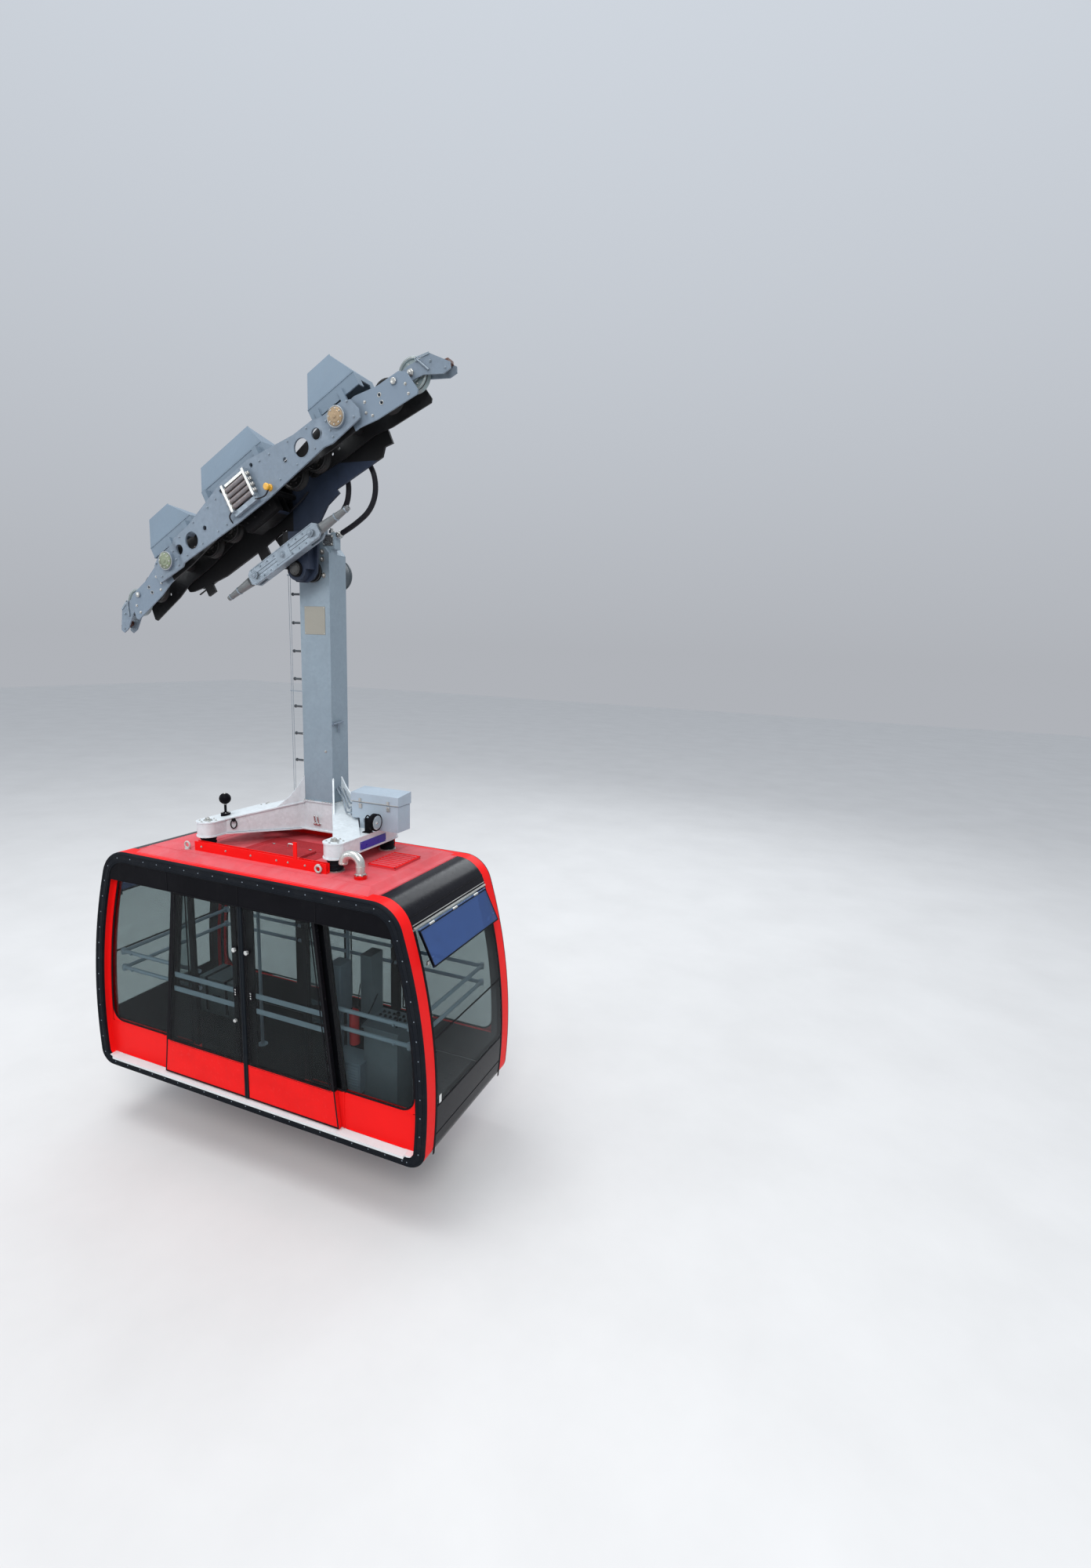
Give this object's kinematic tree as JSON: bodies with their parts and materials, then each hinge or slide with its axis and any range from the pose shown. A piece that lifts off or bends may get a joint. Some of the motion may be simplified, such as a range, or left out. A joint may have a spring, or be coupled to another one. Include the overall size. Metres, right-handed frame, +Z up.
{
  "type": "cable car cabin",
  "caption": "Aerial tramway car: wheeled carriage for an inclined track rope, offset hanger column, roof frame and a glazed red cabin with sliding doors.",
  "frame": {"origin": "point on the track rope's centreline under the middle of the carriage; the car hangs below it as in the picture, on a rope that rises 29.3 degrees towards +X", "axes": "+X uphill along the car, +Y away from the door side, +Z up"},
  "size_m": [4.1183, 1.664, 6.7339],
  "materials": {
    "galvanised_steel": "satin galvanised grey",
    "hanger_steel": "satin light grey",
    "hood_grey": "satin light grey paint",
    "dark_steel": "satin black",
    "wheel_steel": "machined tread, grey paint",
    "bare_steel": "machined",
    "spring_steel": "brown painted springs",
    "hose_rubber": "matt black",
    "red_shell": "gloss red paint",
    "roof_red": "satin red paint",
    "black_gloss": "gloss black paint",
    "black_rubber": "matt",
    "door_black": "gloss black paint",
    "tinted_glass": "tinted",
    "tread_aluminium": "anodised tread",
    "rail_grey": "satin grey-blue paint",
    "floor_grey": "grained dark grey",
    "desk_grey": "satin grey",
    "chest_grey": "satin grey",
    "lamp_black": "matt black"
  },
  "bodies": {
    "carriage": {"side_plate_near": "galvanised_steel", "side_plate_far": "galvanised_steel", "cross_tubes": "galvanised_steel", "hanger_pin": "bare_steel", "rail_brake": "dark_steel", "brake_springs": "spring_steel", "hoods": "hood_grey", "haul_rope_bar": "galvanised_steel", "rope_sockets": "bare_steel", "hose_1": "hose_rubber", "hose_2": "hose_rubber"},
    "rocker_lower": {"rocker_lower": "galvanised_steel"},
    "rocker_upper": {"rocker_upper": "galvanised_steel"},
    "truck_1": {"truck_1": "galvanised_steel"},
    "truck_2": {"truck_2": "galvanised_steel"},
    "truck_3": {"truck_3": "galvanised_steel"},
    "truck_4": {"truck_4": "galvanised_steel"},
    "wheel_1": {"wheel_1": "wheel_steel"},
    "wheel_2": {"wheel_2": "wheel_steel"},
    "wheel_3": {"wheel_3": "wheel_steel"},
    "wheel_4": {"wheel_4": "wheel_steel"},
    "wheel_5": {"wheel_5": "wheel_steel"},
    "wheel_6": {"wheel_6": "wheel_steel"},
    "wheel_7": {"wheel_7": "wheel_steel"},
    "wheel_8": {"wheel_8": "wheel_steel"},
    "cabin": {"hanger_column": "hanger_steel", "bearing_cap": "hanger_steel", "hub_frame": "hanger_steel", "rubber_mounts": "black_rubber", "electrical_box": "hood_grey", "roof_lamp": "lamp_black", "ball_post": "lamp_black", "side_hoops": "red_shell", "edge_rims": "black_rubber", "roof_panel": "roof_red", "roof_rails": "roof_red", "vent_pipe": "hanger_steel", "end_headers": "black_gloss", "end_windows": "tinted_glass", "end_aprons": "black_gloss", "vent_flaps": "tinted_glass", "floor_pan": "floor_grey", "side_panels": "red_shell", "side_windows": "tinted_glass", "door_headers": "black_gloss", "sills": "tread_aluminium", "handrails": "rail_grey", "operator_desk": "desk_grey", "rescue_chest": "chest_grey"},
    "door_left": {"door_left": "door_black", "door_left_glass": "tinted_glass"},
    "door_right": {"door_right": "door_black", "door_right_glass": "tinted_glass"},
    "roof_hatch": {"roof_hatch": "roof_red"},
    "box_lid": {"box_lid": "hood_grey"}
  },
  "joints": [
    {"name": "rocker_lower_pivot", "type": "hinge", "parent": "carriage", "child": "rocker_lower", "pos_m": [-1.08901, 0, -0.40931], "axis": [0, 1, 0], "range_deg": [-5, 5]},
    {"name": "rocker_upper_pivot", "type": "hinge", "parent": "carriage", "child": "rocker_upper", "pos_m": [0.91675, 0, 0.71627], "axis": [0, 1, 0], "range_deg": [-5, 5]},
    {"name": "truck_1_pivot", "type": "hinge", "parent": "rocker_lower", "child": "truck_1", "pos_m": [-1.56725, 0, -0.72183], "axis": [0, 1, 0], "range_deg": [-8, 8]},
    {"name": "truck_2_pivot", "type": "hinge", "parent": "rocker_lower", "child": "truck_2", "pos_m": [-0.57309, 0, -0.16393], "axis": [0, 1, 0], "range_deg": [-8, 8]},
    {"name": "truck_3_pivot", "type": "hinge", "parent": "rocker_upper", "child": "truck_3", "pos_m": [0.43851, 0, 0.40375], "axis": [0, 1, 0], "range_deg": [-8, 8]},
    {"name": "truck_4_pivot", "type": "hinge", "parent": "rocker_upper", "child": "truck_4", "pos_m": [1.43267, 0, 0.96165], "axis": [0, 1, 0], "range_deg": [-8, 8]},
    {"name": "wheel_1_spin", "type": "hinge", "parent": "truck_1", "child": "wheel_1", "pos_m": [-1.68934, 0, -0.79034], "axis": [0, 1, 0], "continuous": true},
    {"name": "wheel_2_spin", "type": "hinge", "parent": "truck_1", "child": "wheel_2", "pos_m": [-1.44516, 0, -0.65331], "axis": [0, 1, 0], "continuous": true},
    {"name": "wheel_3_spin", "type": "hinge", "parent": "truck_2", "child": "wheel_3", "pos_m": [-0.69518, 0, -0.23245], "axis": [0, 1, 0], "continuous": true},
    {"name": "wheel_4_spin", "type": "hinge", "parent": "truck_2", "child": "wheel_4", "pos_m": [-0.451, 0, -0.09542], "axis": [0, 1, 0], "continuous": true},
    {"name": "wheel_5_spin", "type": "hinge", "parent": "truck_3", "child": "wheel_5", "pos_m": [0.31642, 0, 0.33524], "axis": [0, 1, 0], "continuous": true},
    {"name": "wheel_6_spin", "type": "hinge", "parent": "truck_3", "child": "wheel_6", "pos_m": [0.5606, 0, 0.47226], "axis": [0, 1, 0], "continuous": true},
    {"name": "wheel_7_spin", "type": "hinge", "parent": "truck_4", "child": "wheel_7", "pos_m": [1.31058, 0, 0.89313], "axis": [0, 1, 0], "continuous": true},
    {"name": "wheel_8_spin", "type": "hinge", "parent": "truck_4", "child": "wheel_8", "pos_m": [1.55476, 0, 1.03016], "axis": [0, 1, 0], "continuous": true},
    {"name": "hanger_swing", "type": "hinge", "parent": "carriage", "child": "cabin", "pos_m": [0.25937, 0.424, -0.4622], "axis": [0, 1, 0], "range_deg": [-34, 14], "deforming": ["hose_1", "hose_2"]},
    {"name": "door_left_slide", "type": "slide", "parent": "cabin", "child": "door_left", "axis": [-1, 0, 0], "range_m": [0, 0.7]},
    {"name": "door_right_slide", "type": "slide", "parent": "cabin", "child": "door_right", "axis": [1, 0, 0], "range_m": [0, 0.7]},
    {"name": "roof_hatch_hinge", "type": "hinge", "parent": "cabin", "child": "roof_hatch", "pos_m": [0.23937, -0.438, -3.0902], "axis": [1, 0, 0], "range_deg": [0, 95]},
    {"name": "box_lid_hinge", "type": "hinge", "parent": "cabin", "child": "box_lid", "pos_m": [1.07137, 0.319, -2.5742], "axis": [-1, 0, 0], "range_deg": [0, 100]}
  ]
}
